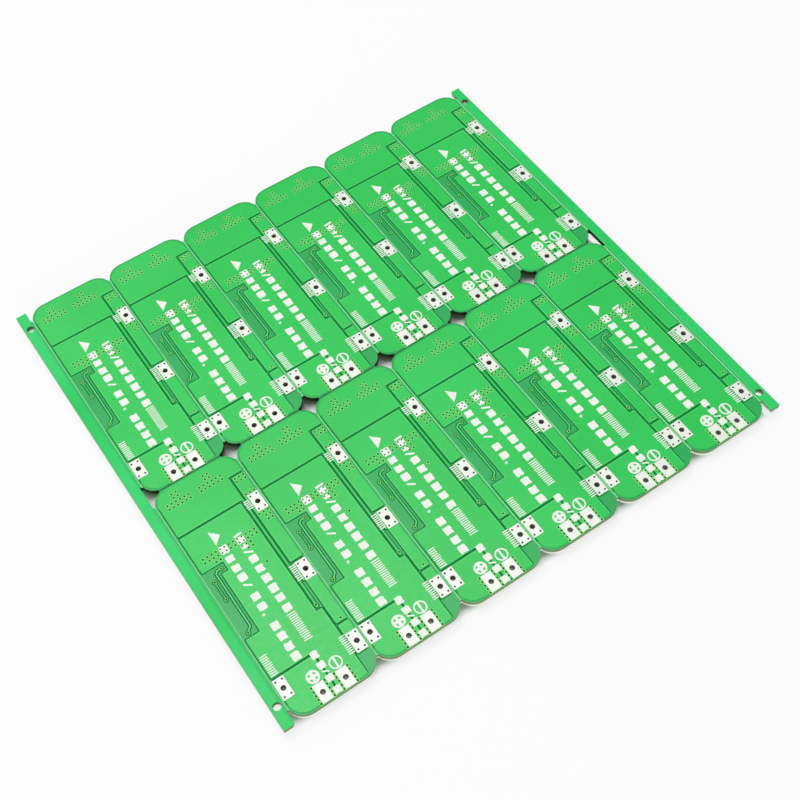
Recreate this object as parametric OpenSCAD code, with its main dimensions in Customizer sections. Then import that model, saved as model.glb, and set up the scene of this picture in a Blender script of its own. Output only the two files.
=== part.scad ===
// Battery protection board for three cells in series, still joined in its production panel:
// twelve boards in a grid, held together by V-scores, with a break-off rail on the left and right.
// The wire-pad side faces +Z. The components hang below, and the power transistors stand on z = 0.
// X runs across the boards, Y along them, and the origin is under the middle of the panel.
// Places on a board are taken from its lower left corner, seen from the wire-pad side.

/* [Panel] */
// Boards side by side
columns = 6; // [1:1:8]
// Boards one behind the other
rows = 2; // [1:1:3]
// Board width, from V-score to V-score
board_w = 20; // [19.5:0.5:28]
// Board length, from V-score to V-score
board_l = 59.4; // [59:0.1:80]
// Thickness of the laminate
board_t = 1.6; // [1.2:0.1:2.4]
// Radius of a board's corners
corner_r = 4; // [3:0.25:4.5]
// Width of a break-off rail
rail_w = 2.8; // [2.6:0.1:6]
// Gap that is routed between a rail's ends and the boards' corners
rail_gap = 0.7; // [0.55:0.05:0.8]
// Diameter of the router bit that clears the corners
router_d = 1; // [0.8:0.05:1.2]

/* [V-scores] */
// Depth of the score, from each face
score_depth = 0.5; // [0.3:0.05:0.55]
// Included angle of the score
score_angle = 30; // [25:5:45]

/* [Tooling holes] */
// Diameter of the tooling holes in the rails
tooling_d = 1.9; // [1.2:0.1:2]
// Distance from a rail's end to its tooling hole
tooling_inset = 4.9; // [4.5:0.1:10]

/* [Copper] */
// Thickness of the masked copper on each face
copper_t = 0.07; // [0.05:0.005:0.12]
// How far the tinned wire pads stand proud of the masked copper
tin_t = 0.02; // [0.01:0.005:0.05]
// Gap between two copper areas
isolation = 0.4; // [0.3:0.05:0.45]
// Copper pull-back from the V-scores and edges
edge_clear = 0.45; // [0.35:0.05:0.5]
// Corner radius of the copper areas
copper_r = 0.2; // [0.1:0.05:0.2]
// Width of the wide signal track
track_w = 0.4; // [0.3:0.05:0.5]
// Width of the narrow signal track
fine_track_w = 0.3; // [0.2:0.05:0.4]

/* [Wire pads] */
// Bore of the wire holes
wire_hole_d = 1.2; // [0.8:0.1:1.4]
// Wall of the plated barrels in the wire holes
plating = 0.08; // [0.05:0.01:0.1]
// Length of a cell-tap pad
tap_pad_l = 4.7; // [4.3:0.1:4.8]
// Width of every wire pad
pad_w = 2.5; // [2.2:0.1:2.6]
// Cell-tap hole, from the nearest V-score
tap_inset = 1.55; // [1.5:0.05:1.7]
// First cell tap, from the board's lower end
tap_first = 7.35; // [7:0.05:8]
// Spacing of the cell taps along the board
tap_pitch = 18.95; // [18:0.05:19.3]
// Length of an output pad
out_pad_l = 4.2; // [3.8:0.1:4.2]
// Output holes, from the board's lower end
out_inset = 2.3; // [2.3:0.05:2.4]
// Spacing of the two output holes
out_spacing = 5.25; // [5:0.05:5.6]

/* [Vias] */
// Bore of a via
via_d = 0.34; // [0.2:0.02:0.4]
// Diameter of a lone via's land at the end of a track
via_land_d = 0.8; // [0.6:0.05:0.9]
// Pitch of the stitching vias
via_pitch = 1.016; // [0.95:0.002:1.05]

/* [Power transistors] */
// Height of a transistor
fet_h = 1.6; // [1.4:0.05:1.9]
// Length of the moulded body, along its row of leads
fet_l = 4.9; // [4.6:0.1:5.1]
// Width of the moulded body
fet_w = 3.9; // [3.6:0.1:4]
// Span over the leads
fet_span = 6; // [5.8:0.05:6.2]
// Pitch of the leads
fet_pitch = 1.27; // [1.1:0.01:1.27]

/* [Protection chip] */
// Height of the chip
chip_h = 1.1; // [0.9:0.05:1.3]
// Length of the moulded body, along its row of leads
chip_l = 5; // [4.9:0.1:5.4]
// Width of the moulded body
chip_w = 4.4; // [4:0.1:4.6]
// Span over the leads
chip_span = 6.4; // [6.2:0.1:6.6]
// Leads on each side
chip_leads = 8; // [4:1:8]

/* [Small parts] */
// Length of the current-sense resistor
shunt_l = 6.35; // [5:0.05:6.6]
// Width of the current-sense resistor
shunt_w = 3.15; // [2.4:0.05:3.3]
// Height of the current-sense resistor
shunt_h = 0.6; // [0.4:0.05:1]
// Length of a chip resistor or capacitor
small_l = 1.6; // [1.2:0.1:2]
// Width of a chip resistor or capacitor
small_w = 0.8; // [0.5:0.05:1]
// Height of a chip resistor
resistor_h = 0.45; // [0.3:0.05:0.6]
// Height of a chip capacitor
capacitor_h = 0.8; // [0.5:0.05:1.1]

/* [Hidden] */
$fn = 40;

mask_green = "#3fd06a";
bare_green = "#2c9f52";
tin = "#e8ebe4";
mould_black = "#26272a";
cut = 1;                                    // how far a cutting shape runs past what it cuts

// Levels, from the table up
z_under = fet_h + copper_t;                 // underside of the laminate
z_top = z_under + board_t;                  // upper face of the laminate
z_copper = z_top + copper_t;                // top of the masked copper

panel_w = columns * board_w;                // width of the boards, without the rails
panel_l = rows * board_l;

// Wire holes
right_x = board_w - tap_inset;
tap_y = [for (k = [0:2]) tap_first + k * tap_pitch];
plus_x = board_w / 2 - out_spacing / 2;
minus_x = board_w / 2 + out_spacing / 2;

// Lines that part the copper areas; each area keeps half the isolation gap from them
source_line = board_l - 12.3;               // source area above, output-negative area below
output_line = tap_y[0] + 2.65;              // output-negative area above, positive area below
middle_line = board_w / 2;                  // positive area left, output-negative area right
strip_line = board_w - 3.6;                 // cell-negative strip right of it
tail_line = strip_line - 0.9;               // the source area's sense tail lies between these two
low_strip_line = board_w - 3.2;             // tap areas right of it, below the sense tail
tail_end = tap_y[0] + 10.05;
strip_top = tap_y[2] + 8.15;
negative_line = tap_y[1] + 2.7;             // cell-negative strip above, lower tap below
wide_tap_line = tap_y[1] - 2.4;             // the lower tap's area is wider above this
tap_line = tap_y[0] + 5;                    // lower tap above, upper tap below
strip_foot = tap_y[0] - 2.65;               // bare laminate below

// Bare window on the left with two signal tracks
window_w = 3.6;
window_low = 20.2;
window_high = 37.1;
window_hook_w = 5.2;
window_hook = 1.8;

// Power transistors, in two columns and back to back
fet_x = [4.81, 12.43];
discharge_y = board_l - 9;
charge_y = discharge_y - fet_span - 0.7;

// Vias, net by net
stitch_x = fet_x[0] - 2.5 * via_pitch;      // first column of every stitching field
sense_via = [(tail_line + strip_line) / 2, tail_end + 1];
source_vias = concat(
    [for (x0 = [0, fet_x[1] - fet_x[0]], k = [0:5], r = [0:1])
        [stitch_x + x0 + k * via_pitch, board_l - 5.28 + r * via_pitch]],
    [for (x0 = [0, fet_x[1] - fet_x[0]], k = [2:3], r = [2:3])
        [stitch_x + x0 + k * via_pitch, board_l - 5.28 + r * via_pitch]],
    [sense_via]);
strip_x = board_w - 0.8;                    // last column of the vias in the strips
cell_negative_vias = concat(
    [for (k = [0:2], y = [7.35, 6.4, 2.75, -2.85]) [strip_x - k * via_pitch, tap_y[2] + y]],
    [for (k = [0:1], r = [1:2]) [strip_x - k * via_pitch, tap_y[2] - 2.85 - r * via_pitch]]);
lower_tap_vias = [[right_x, tap_line + 0.9]];
output_negative_vias = concat(
    [for (k = [0:12], r = [0:1]) [stitch_x + k * via_pitch, board_l - 20.35 + r * via_pitch]],
    [for (k = [2:3]) [stitch_x + k * via_pitch, board_l - 20.35 - via_pitch]],
    [for (k = [8:10]) [stitch_x + k * via_pitch, board_l - 20.35 - via_pitch]],
    [for (k = [9:10]) [stitch_x + k * via_pitch, board_l - 20.35 - 2 * via_pitch]],
    [[board_w - 7.15, negative_line + 3.2]],
    beside_pad(minus_x));
positive_vias = beside_pad(plus_x);
wide_track = [[4.35, window_high - 0.9], [3.4, window_high - 0.9], [2.85, window_high - 1.45],
    [2.85, window_low + 1.9], [1.75, window_low + 0.8]];
fine_track = [[1.75, window_high - 2.9], [1.75, window_low + 9.4]];
signal_vias = [wide_track[0], wide_track[4], fine_track[0], fine_track[1]];
pad_vias = corners(pad_w / 2 - 0.5, tap_pad_l / 2 - 0.6);   // in a tap pad, from its hole

function corners(x, y) = [for (sx = [-1, 1], sy = [-1, 1]) [sx * x, sy * y]];

// Two columns of five vias beside an output pad
function beside_pad(x) = [for (s = [-1, 1], k = [-2:2]) [x + s * (pad_w / 2 + 0.27),
    out_inset + k * (out_pad_l - 0.48) / 4]];

// Small parts below the board: [x, y, turn]
sense_place = [[board_w - 2.45, board_l - 6.1, 90]];
resistor_places = [[8.6, discharge_y, 90], [8.6, charge_y, 90], [14.3, 30.2, 0], [14.3, 28, 0],
    [14.3, 25.8, 0], [3.7, 31, 0], [3.7, 28.8, 0], [7.4, 20.6, 0]];
capacitor_places = [[14.3, 23.6, 0], [3.7, 26.4, 0], [3.7, 24.2, 0], [10.4, 20.6, 0]];
chip_place = [8.9, 27.4];
shunt_size = [shunt_l, shunt_w, shunt_h];
resistor_size = [small_l, small_w, resistor_h];
capacitor_size = [small_l, small_w, capacitor_h];

// ---- Layout helpers ----

// A copy of the children on every board of the panel
module on_boards()
    translate([-panel_w / 2, -panel_l / 2])
        for (j = [0:rows - 1], i = [0:columns - 1]) translate([i * board_w, j * board_l]) children();

// The children, hung at each place below every board, with their own +Z pointing down
module below(places, z = z_under)
    on_boards() for (p = places)
        translate([p[0], p[1], z]) rotate(p[2]) mirror([0, 0, 1]) children();

module dots(points, d) for (p = points) translate(p) circle(d = d);

module tooling_holes()
    for (sx = [-1, 1], sy = [-1, 1])
        translate([sx * (panel_w + rail_w) / 2, sy * (panel_l / 2 - tooling_inset)])
            circle(d = tooling_d);

// ---- Laminate ----

// Distance from a crossing of two V-scores at which the gap between a rounded corner and the
// score line is x wide
function tip_at(x) = corner_r - sqrt(pow(corner_r, 2) - pow(corner_r - x, 2));

// Gap routed where board corners meet: concave along each corner, with round tips. At the panel's
// sides the rail closes it, and at the panel's ends it is open.
module corner_gap(i, j) {
    rail = i == 0 ? -1 : i == columns ? 1 : 0;
    end = j == 0 ? -1 : j == rows ? 1 : 0;
    lap = 0.05;                             // how far a tip lies past the place that it just fills
    arm = tip_at(router_d / 2) + lap;
    tip = rail == 0 ? arm : tip_at(router_d - rail_gap) + lap;
    reach_x = end == 0 ? arm : corner_r;
    x0 = rail == -1 ? -rail_gap : -reach_x;
    x1 = rail == 1 ? rail_gap : reach_x;
    y0 = end == -1 ? -cut : -tip;
    y1 = end == 1 ? cut : tip;
    difference() {
        translate([x0, y0]) square([x1 - x0, y1 - y0]);
        for (sx = [-1, 1], sy = [-1, 1])
            if (sx != rail && sy != end) translate([sx, sy] * corner_r) circle(corner_r, $fn = 96);
    }
    for (sy = [-1, 1]) if (sy != end)
        translate([rail * (rail_gap - router_d / 2), sy * tip]) circle(d = router_d);
    for (sx = [-1, 1]) if (sx != rail && end == 0) translate([sx * arm, 0]) circle(d = router_d);
}

module score(length) {
    half = tan(score_angle / 2);
    for (face = [0, 1]) translate([0, 0, face ? z_top : z_under]) mirror([0, 0, face])
        rotate([90, 0, 0]) linear_extrude(length + 2 * cut, center = true)
            polygon([[-half * (score_depth + cut), -cut], [half * (score_depth + cut), -cut],
                [0, score_depth]]);
}

// Fibreglass panel with its green solder mask, drilled, routed and scored
module laminate() color(bare_green) difference() {
    translate([0, 0, z_under]) linear_extrude(board_t) difference() {
        square([panel_w + 2 * rail_w, panel_l], center = true);
        translate([-panel_w / 2, -panel_l / 2]) for (i = [0:columns], j = [0:rows])
            translate([i * board_w, j * board_l]) corner_gap(i, j);
        tooling_holes();
        on_boards() dots(wire_holes(), wire_hole_d + 2 * plating);
    }
    for (i = [0:columns]) translate([i * board_w - panel_w / 2, 0]) score(panel_l);
    if (rows > 1) for (j = [1:rows - 1])
        translate([0, j * board_l - panel_l / 2]) rotate(90) score(panel_w + 2 * rail_w);
}

// ---- Copper and pads ----

function wire_holes() = [[right_x, tap_y[2]], [right_x, tap_y[1]], [right_x, tap_y[0]],
    [tap_inset, tap_y[0]], [plus_x, out_inset], [minus_x, out_inset]];

module pad_outline(k)
    translate(wire_holes()[k]) square([pad_w, k < 4 ? tap_pad_l : out_pad_l], center = true);

// One board, kept back from its edges by inset
module board_outline(inset) {
    translate([inset, corner_r]) square([board_w - 2 * inset, board_l - 2 * corner_r]);
    translate([corner_r, inset]) square([board_w - 2 * corner_r, board_l - 2 * inset]);
    for (x = [corner_r, board_w - corner_r], y = [corner_r, board_l - corner_r])
        translate([x, y]) circle(corner_r - inset);
}

// Copper areas on the boards from the children's outlines, which share their parting lines
module poured()
    offset(r = copper_r, $fn = 16) offset(delta = -isolation / 2 - copper_r)
        on_boards() intersection() {
            children();
            board_outline(edge_clear - isolation / 2);
        }

// A masked copper area on the upper face, open over its wire pads and vias
module pour(vias, pads) color(mask_green) translate([0, 0, z_top]) linear_extrude(copper_t)
    difference() {
        poured() children();
        on_boards() dots(vias, via_d);
        on_boards() for (k = pads) pad_outline(k);
    }

module area(x0, y0, x1, y1) translate([x0, y0]) square([x1 - x0, y1 - y0]);

module pour_source() pour(source_vias, []) {
    area(0, source_line, strip_line, board_l);
    area(tail_line, strip_top, board_w, board_l);
    area(tail_line, tail_end, strip_line, board_l);
    dots([sense_via], via_land_d + isolation);
}

module pour_cell_negative()
    pour(cell_negative_vias, [0]) area(strip_line, negative_line, board_w, strip_top);

module pour_lower_tap() pour(lower_tap_vias, [1]) {
    area(strip_line, wide_tap_line, board_w, negative_line);
    area(low_strip_line, tap_line, board_w, negative_line);
}

module pour_upper_tap() pour([], [2]) area(low_strip_line, strip_foot, board_w, tap_line);

module pour_output_negative() pour(output_negative_vias, [5]) difference() {
    union() {
        area(0, output_line, tail_line, source_line);
        area(middle_line, 0, low_strip_line, tail_end);
    }
    area(-cut, window_low, window_w, window_high);
    area(-cut, window_high - window_hook, window_hook_w, window_high);
}

module pour_positive() pour(positive_vias, [3, 4]) area(0, 0, middle_line, output_line);

module stroke(path, w) for (k = [0:len(path) - 2]) {
    run = path[k + 1] - path[k];
    translate(path[k]) rotate(atan2(run[1], run[0])) translate([0, -w / 2]) square([norm(run), w]);
    if (k > 0) translate(path[k]) circle(d = w);
}

// Two tracks that cross the bare window, each from via to via
module signal_tracks() color(mask_green) translate([0, 0, z_top]) linear_extrude(copper_t)
    on_boards() difference() {
        union() {
            stroke(wide_track, track_w);
            stroke(fine_track, fine_track_w);
            dots(signal_vias, via_land_d);
        }
        dots(signal_vias, via_d);
    }

// Copper strip along each rail
module rail_copper() color(mask_green) translate([0, 0, z_top]) linear_extrude(copper_t)
    difference() {
        for (s = [-1, 1]) translate([s * (panel_w + rail_w + rail_gap) / 2, 0])
            square([rail_w - rail_gap - isolation / 2, panel_l - 2 * edge_clear], center = true);
        tooling_holes();
    }

// Tinned wire pad: a land on each face, joined by the plated barrel
module wire_pad(k) color(tin) on_boards() difference() {
    union() {
        translate([0, 0, z_top]) linear_extrude(copper_t + tin_t) pad_land(k);
        translate([0, 0, z_under - copper_t]) linear_extrude(copper_t) pad_land(k);
        translate(wire_holes()[k]) translate([0, 0, z_under - copper_t / 2])
            cylinder(d = wire_hole_d + 2 * plating, h = board_t + copper_t);
    }
    translate(wire_holes()[k]) cylinder(d = wire_hole_d, h = z_copper + cut);
}

module pad_land(k) difference() {
    pad_outline(k);
    if (k < 4) translate(wire_holes()[k]) dots(pad_vias, via_d);
}

module pad_cell_negative() wire_pad(0);
module pad_lower_tap() wire_pad(1);
module pad_upper_tap() wire_pad(2);
module pad_cell_positive() wire_pad(3);
module pad_output_positive() wire_pad(4);
module pad_output_negative() wire_pad(5);

// ---- Underside ----

land_l = 1.1;                               // tinned land under a transistor's lead
foot_y = fet_span / 2 - 0.3;                // middle of a transistor's lands, from its own middle
gate_gap = 0.3;                             // the gate's land stops short of the source copper

// Lands of the power transistors: the drains share one, the three sources share one, and the gate
// has its own. Then the lands of the sense resistor.
module transistor_lands() {
    row = 3 * fet_pitch + 0.7;
    drains_l = discharge_y - charge_y - 2 * foot_y + land_l;
    for (x = fet_x) {
        translate([x, (discharge_y + charge_y) / 2]) square([row, drains_l], center = true);
        for (s = [-1, 1]) translate([x, (s > 0 ? discharge_y : charge_y) + s * foot_y]) {
            translate([-s * fet_pitch / 2, 0]) square([row - fet_pitch, land_l], center = true);
            translate([s * 1.5 * fet_pitch, -s * gate_gap / 2])
                square([0.7, land_l - gate_gap], center = true);
        }
    }
}

module sense_lands()
    for (p = sense_place, s = [-1, 1]) translate([p[0], p[1]]) rotate(p[2])
        translate([s * (shunt_l - 0.9) / 2, 0]) square([1.3, shunt_w + 0.1], center = true);

module underside_lands() color(tin) translate([0, 0, z_under - copper_t]) linear_extrude(copper_t)
    on_boards() {
        transistor_lands();
        sense_lands();
    }

// Masked copper below: the sources, output negative twice, cell negative and positive. Each is kept
// apart from the others, and clear of the signal vias.
module underside_pours() color(mask_green) translate([0, 0, z_under - copper_t])
    linear_extrude(copper_t) difference() {
        reach = foot_y + land_l / 2 - isolation / 2;
        union() {
            poured() area(0, discharge_y + reach, board_w, board_l);
            poured() area(0, board_l - 23.2, strip_line, charge_y - reach);
            poured() area(strip_line, tap_y[2] - 7, board_w, discharge_y + reach);
            poured() area(0, 0, middle_line, output_line);
            poured() area(middle_line, 0, low_strip_line, output_line);
        }
        on_boards() {
            sense_lands();
            for (k = [0, 3, 4, 5]) pad_outline(k);
            dots(signal_vias, via_land_d + isolation);
        }
    }

// Moulded body of a leaded package: its four sides slope back from the middle to both faces
module moulded_body(l, w, h) {
    standoff = 0.12;
    slope = 0.09;
    intersection() {
        rotate([90, 0, 0]) linear_extrude(w + cut, center = true) side_profile(l, h, standoff, slope);
        rotate([90, 0, 90]) linear_extrude(l + cut, center = true) side_profile(w, h, standoff, slope);
    }
}

module side_profile(w, h, standoff, slope) polygon([[-w / 2 + slope, standoff],
    [w / 2 - slope, standoff], [w / 2, (h + standoff) / 2], [w / 2 - slope, h], [-w / 2 + slope, h],
    [-w / 2, (h + standoff) / 2]]);

// Package with a pin-one dimple in its exposed face
module package(l, w, h) color(mould_black) difference() {
    moulded_body(l, w, h);
    translate([-l / 2 + 0.75, w / 2 - 0.75, h - 0.08]) cylinder(d = 0.6, h = cut);
}

// Gull-wing leads in two rows, bent from strip of thickness t
module gull_leads(count, pitch, lead_w, body_w, span, h, t, foot) color(tin)
    for (s = [0, 1], k = [0:count - 1]) mirror([0, s, 0])
        translate([(k - (count - 1) / 2) * pitch + lead_w / 2, body_w / 2, 0])
            rotate([90, 0, -90]) linear_extrude(lead_w) gull_profile(span / 2 - body_w / 2, h, t, foot);

module gull_profile(reach, h, t, foot) {
    mid = (h + 0.12) / 2;
    heel = foot - reach;
    polygon([[0, mid - t / 2], [heel, 0], [-reach, 0], [-reach, t], [heel - t / 4, t], [0, mid + t / 2]]);
}

module fet_body() package(fet_l, fet_w, fet_h);
module fet_leads() gull_leads(4, fet_pitch, 0.42, fet_w, fet_span, fet_h, 0.2, 0.62);

module at_discharge() below([for (x = fet_x) [x, discharge_y, 0]], z_under - copper_t) children();
module at_charge() below([for (x = fet_x) [x, charge_y, 180]], z_under - copper_t) children();

module discharge_transistors() at_discharge() fet_body();
module discharge_transistor_leads() at_discharge() fet_leads();
module charge_transistors() at_charge() fet_body();
module charge_transistor_leads() at_charge() fet_leads();

module protection_chips()
    below([[chip_place[0], chip_place[1], 90]]) package(chip_l, chip_w, chip_h);
module protection_chip_leads() below([[chip_place[0], chip_place[1], 90]])
    gull_leads(chip_leads, 0.65, 0.22, chip_w, chip_span, chip_h, 0.13, 0.55);

// Two-ended chip part: the block between its ends, and the metal ends that wrap it
module block(size, foot) translate([0, 0, size[2] / 2])
    cube([size[0] - 2 * foot, size[1] - 0.04, size[2] - 0.04], center = true);
module ends(size, foot) color(tin) for (s = [-1, 1])
    translate([s * (size[0] - foot) / 2, 0, size[2] / 2]) cube([foot, size[1], size[2]], center = true);

module sense_resistors() color("#33353a") below(sense_place, z_under - copper_t) block(shunt_size, 0.9);
module sense_resistor_ends() below(sense_place, z_under - copper_t) ends(shunt_size, 0.9);
module chip_resistors() color("#2b2c30") below(resistor_places) block(resistor_size, 0.35);
module chip_resistor_ends() below(resistor_places) ends(resistor_size, 0.35);
module chip_capacitors() color("#b08a5a") below(capacitor_places) block(capacitor_size, 0.35);
module chip_capacitor_ends() below(capacitor_places) ends(capacitor_size, 0.35);

laminate();
rail_copper();
pour_source();
pour_cell_negative();
pour_lower_tap();
pour_upper_tap();
pour_output_negative();
pour_positive();
signal_tracks();
pad_cell_negative();
pad_lower_tap();
pad_upper_tap();
pad_cell_positive();
pad_output_positive();
pad_output_negative();
underside_pours();
underside_lands();
discharge_transistors();
discharge_transistor_leads();
charge_transistors();
charge_transistor_leads();
protection_chips();
protection_chip_leads();
sense_resistors();
sense_resistor_ends();
chip_resistors();
chip_resistor_ends();
chip_capacitors();
chip_capacitor_ends();
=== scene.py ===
import math
import random

import bpy
import numpy as np
from mathutils import Matrix, Vector


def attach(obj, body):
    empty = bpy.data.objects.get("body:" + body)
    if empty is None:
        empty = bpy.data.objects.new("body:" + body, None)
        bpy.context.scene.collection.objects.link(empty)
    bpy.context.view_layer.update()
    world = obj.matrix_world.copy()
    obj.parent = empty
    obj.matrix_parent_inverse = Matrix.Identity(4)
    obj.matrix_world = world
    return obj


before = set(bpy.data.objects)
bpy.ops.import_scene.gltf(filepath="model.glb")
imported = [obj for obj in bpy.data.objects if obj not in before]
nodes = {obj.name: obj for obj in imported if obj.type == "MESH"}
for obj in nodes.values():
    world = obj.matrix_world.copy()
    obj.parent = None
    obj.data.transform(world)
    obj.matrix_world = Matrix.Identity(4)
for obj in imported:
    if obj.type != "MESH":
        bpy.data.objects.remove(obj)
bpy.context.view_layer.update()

MM = 0.001

# ---- The panel's layout, in millimetres, as the CAD part has it ----
# Places on a board are taken from its lower left corner, seen from the wire-pad side.

COLUMNS, ROWS = 6, 2
BOARD_W, BOARD_L = 20.0, 59.4
CORNER_R, RAIL_W = 4.0, 2.8
HALF_W, HALF_L = COLUMNS * BOARD_W / 2, ROWS * BOARD_L / 2      # half of all boards, without the rails
BOARDS = [(i * BOARD_W - HALF_W, j * BOARD_L - HALF_L) for j in range(ROWS) for i in range(COLUMNS)]

COPPER_T, PRINT_T = 0.07, 0.012             # copper with the mask over it, and print over that
Z_UNDER, Z_TOP = 1.67, 3.27                 # faces of the laminate
Z_BELOW = Z_UNDER - COPPER_T                # face of the underside's copper
Z_COPPER = Z_TOP + COPPER_T                 # face of the upper side's copper
Z_PRINT = Z_COPPER + PRINT_T                # face of the white print

# Wire pads: each has a middle and a length
RIGHT_X, LEFT_X, TAPS = 18.45, 1.55, [7.35, 26.3, 45.25]
OUT_Y, PLUS_X, MINUS_X = 2.3, 7.375, 12.625
PAD_W, TAP_PAD_L, OUT_PAD_L = 2.5, 4.7, 4.2
PADS = [(RIGHT_X, y, TAP_PAD_L) for y in TAPS] + [
    (LEFT_X, TAPS[0], TAP_PAD_L), (PLUS_X, OUT_Y, OUT_PAD_L), (MINUS_X, OUT_Y, OUT_PAD_L)]
PAD_VIA_DX, PAD_VIA_DY = 0.75, 1.75         # the vias in a tap pad's corners, from its middle
TOOLING_X, TOOLING_Y = 61.4, 54.5           # the rails' holes, from the panel's middle

# Parts on the underside, with the leads of one side
FET_X, DISCHARGE_Y, CHARGE_Y = [4.81, 12.43], 50.4, 43.7
FETS = [(x, y) for x in FET_X for y in (DISCHARGE_Y, CHARGE_Y)]
FET_LEADS, FET_PITCH = 4, 1.27
CHIP, CHIP_LEADS, CHIP_PITCH = (8.9, 27.4), 8, 0.65
SHUNT = (17.55, 53.3)
# Chip resistors and capacitors: middle, and whether the part lies along the board
SMALL_PARTS = [(8.6, DISCHARGE_Y, True), (8.6, CHARGE_Y, True), (14.3, 30.2, False), (14.3, 28, False),
               (14.3, 25.8, False), (3.7, 31, False), (3.7, 28.8, False), (7.4, 20.6, False),
               (14.3, 23.6, False), (3.7, 26.4, False), (3.7, 24.2, False), (10.4, 20.6, False)]

# Vias, of which most stand on a grid
PITCH, VIA_R = 1.016, 0.17
STITCH_X = FET_X[0] - 2.5 * PITCH           # first column of the fields
END_ROW_Y = 54.12                           # lowest row of the two fields at the board's upper end
MIDDLE_ROW_Y = 39.05                        # lower one of the two full rows across the board's middle
EDGE_VIA_X = 19.2                           # the column nearest to the board's right edge
NEGATIVE_VIA_DY = (7.35, 6.4, 2.75, -2.85)  # rows round the cell-negative pad, from its middle
OUT_VIA_DX, OUT_VIA_PITCH = 1.52, 0.93      # the columns beside the output pads
SENSE_VIA, LOWER_TAP_VIA = (15.95, 18.4), (RIGHT_X, 13.25)
LONE_VIA = (12.85, 32.2)                    # beside the print
TRACK_VIAS = [(4.35, 36.2), (1.75, 21.0), (1.75, 34.2), (1.75, 29.6)]


def grid(x, y, columns, rows):
    """Places on the vias' grid, counted from (x, y)."""
    return [(x + k * PITCH, y + r * PITCH) for k in columns for r in rows]


def via_places():
    """(x, y) of every via of one board."""
    out = []
    for x in (STITCH_X, STITCH_X + FET_X[1] - FET_X[0]):
        out += grid(x, END_ROW_Y, range(6), (0, 1)) + grid(x, END_ROW_Y, (2, 3), (2, 3))
    out.append(SENSE_VIA)
    out += [(EDGE_VIA_X - k * PITCH, TAPS[2] + dy) for k in range(3) for dy in NEGATIVE_VIA_DY]
    out += grid(EDGE_VIA_X, TAPS[2] + NEGATIVE_VIA_DY[-1], (0, -1), (-1, -2))
    out.append(LOWER_TAP_VIA)
    out += grid(STITCH_X, MIDDLE_ROW_Y, range(13), (0, 1))
    out += grid(STITCH_X, MIDDLE_ROW_Y, (2, 3, 8, 9, 10), (-1,))
    out += grid(STITCH_X, MIDDLE_ROW_Y, (9, 10), (-2,))
    out.append(LONE_VIA)
    for x in (PLUS_X, MINUS_X):
        out += [(x + side * OUT_VIA_DX, OUT_Y + k * OUT_VIA_PITCH) for side in (-1, 1) for k in range(-2, 3)]
    return out + TRACK_VIAS


VIAS = via_places()


def inside(x, y, zones):
    """Whether a place lies in one of the zones, each given as x0, y0, x1, y1."""
    return any(x0 < x < x1 and y0 < y < y1 for x0, y0, x1, y1 in zones)


# ---- Mesh helpers ----

def box(x0, y0, x1, y1):
    return [(x0, y0), (x1, y0), (x1, y1), (x0, y1)]


def circle(x, y, r, segments):
    turn = 2 * math.pi / segments
    return [(x + r * math.cos(turn * k), y + r * math.sin(turn * k)) for k in range(segments)]


def bar(a, b, w):
    """Outline of a straight stroke from a to b, w wide, with clipped ends."""
    along = (Vector(b) - Vector(a)).normalized()
    across = Vector((-along.y, along.x)) * w / 2
    a, b, tip = Vector(a), Vector(b), along * w / 4
    return [tuple(p) for p in (a - across, b - across, b - across / 2 + tip, b + across / 2 + tip,
                               b + across, a + across, a + across / 2 - tip, a - across / 2 - tip)]


def stroke(path, w):
    """Outline of a path, w wide, with mitred bends."""
    p = np.array(path, float)
    along = np.diff(p, axis=0)
    along /= np.linalg.norm(along, axis=1)[:, None]
    across = np.stack([-along[:, 1], along[:, 0]], 1)
    out = np.vstack([across[:1], across[:-1] + across[1:], across[-1:]])
    for k in range(1, len(out) - 1):
        out[k] /= max(out[k] @ across[k], 0.5)
    return [tuple(q) for q in p - out * w / 2] + [tuple(q) for q in (p + out * w / 2)[::-1]]


class Form:
    """Vertices and faces of closed shapes, in millimetres."""

    def __init__(self):
        self.verts, self.faces = [], []

    def slab(self, outline, low, high):
        """A flat plate with that outline, counter-clockwise, between the two heights."""
        base, n = len(self.verts), len(outline)
        for z in (low, high):
            self.verts += [(x, y, z) for x, y in outline]
        self.faces.append(tuple(base + k for k in reversed(range(n))))
        self.faces.append(tuple(base + n + k for k in range(n)))
        for k in range(n):
            m = (k + 1) % n
            self.faces.append((base + k, base + m, base + n + m, base + n + k))

    def ring(self, profile, x, y, segments):
        """A turned ring: profile is a closed list of (radius, z), counter-clockwise seen in the r-z plane."""
        base = len(self.verts)
        for r, z in profile:
            self.verts += [(*p, z) for p in circle(x, y, r, segments)]
        for row in range(len(profile)):
            a, b = base + row * segments, base + (row + 1) % len(profile) * segments
            for k in range(segments):
                m = (k + 1) % segments
                self.faces.append((a + k, a + m, b + m, b + k))

    def mound(self, x, y, size, z, height, lean):
        """Solder that slopes from a land's outline to a smaller face, away from the board."""
        base = len(self.verts)
        for dx, dy, h in ((0, 0, -0.01), (*lean, height)):
            w, l = size[0] / 2 - dx, size[1] / 2 - dy
            self.verts += [(*p, z - h) for p in box(x - w, y - l, x + w, y + l)]
        self.faces += [(base, base + 1, base + 2, base + 3), (base + 7, base + 6, base + 5, base + 4)]
        for k in range(4):
            m = (k + 1) % 4
            self.faces.append((base + k, base + 4 + k, base + 4 + m, base + m))


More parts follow.
